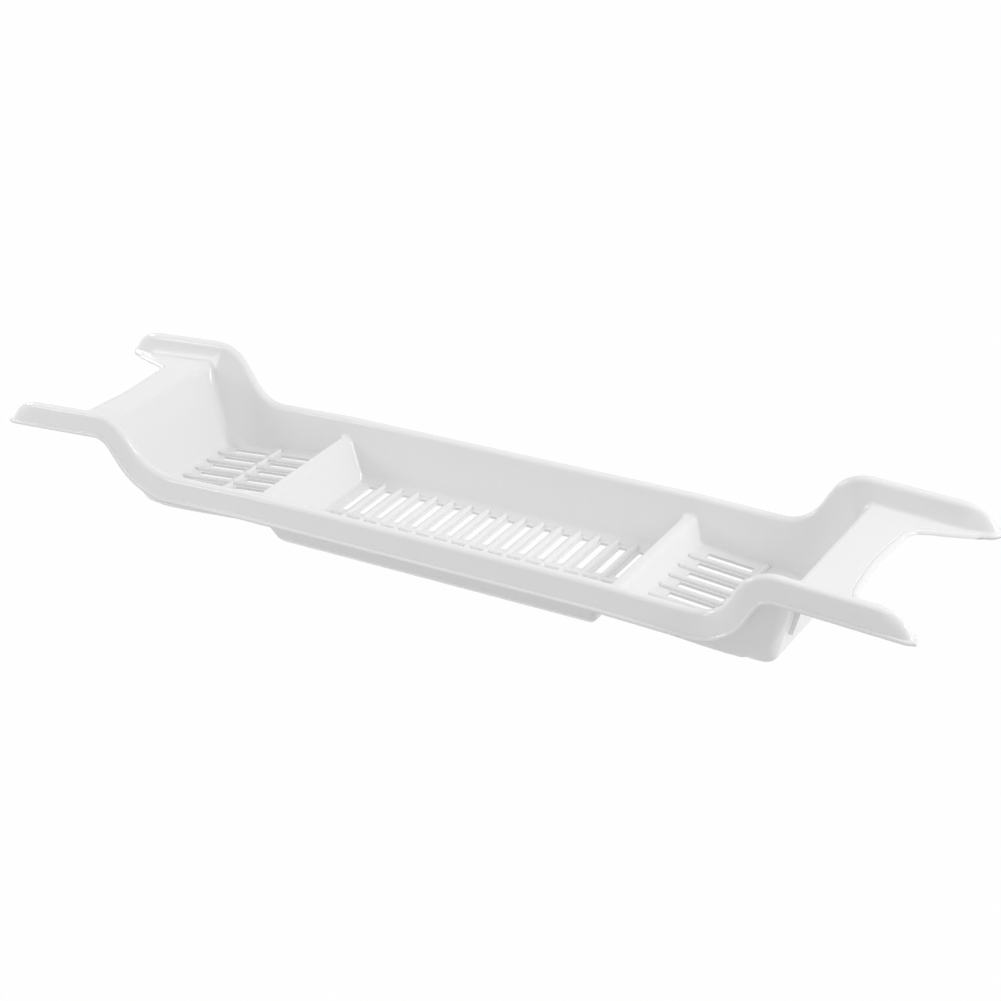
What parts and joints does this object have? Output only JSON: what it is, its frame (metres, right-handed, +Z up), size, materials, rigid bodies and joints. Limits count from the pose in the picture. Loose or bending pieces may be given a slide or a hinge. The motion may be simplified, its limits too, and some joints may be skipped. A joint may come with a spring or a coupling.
{
  "type": "bath caddy",
  "caption": "Moulded bath rack with a long slotted tray, two dividers, a hollow rounded rim and raised, notched end rests that lie on the bath's edges.",
  "frame": {"origin": "centre of the tray's length and width, on the underside of the centre tray, which is the lowest face", "axes": "+X along the rack towards one end rest, +Y across the rack towards the rear rim, +Z up out of the tray"},
  "size_m": [0.6858, 0.1424, 0.08],
  "materials": {
    "moulding": "gloss"
  },
  "bodies": {
    "root": {"rear_rim": "moulding", "front_rim": "moulding", "rear_wall": "moulding", "front_wall": "moulding", "centre_floor": "moulding", "centre_cross_ribs": "moulding", "centre_spine": "moulding", "left_divider": "moulding", "right_divider": "moulding", "left_floor": "moulding", "right_floor": "moulding", "left_floor_ribs": "moulding", "right_floor_ribs": "moulding", "left_end_wall": "moulding", "right_end_wall": "moulding", "left_web": "moulding", "right_web": "moulding", "left_gussets": "moulding", "right_gussets": "moulding", "left_front_arm": "moulding", "left_rear_arm": "moulding", "right_front_arm": "moulding", "right_rear_arm": "moulding", "left_front_toe": "moulding", "left_rear_toe": "moulding", "right_front_toe": "moulding", "right_rear_toe": "moulding"}
  },
  "joints": []
}
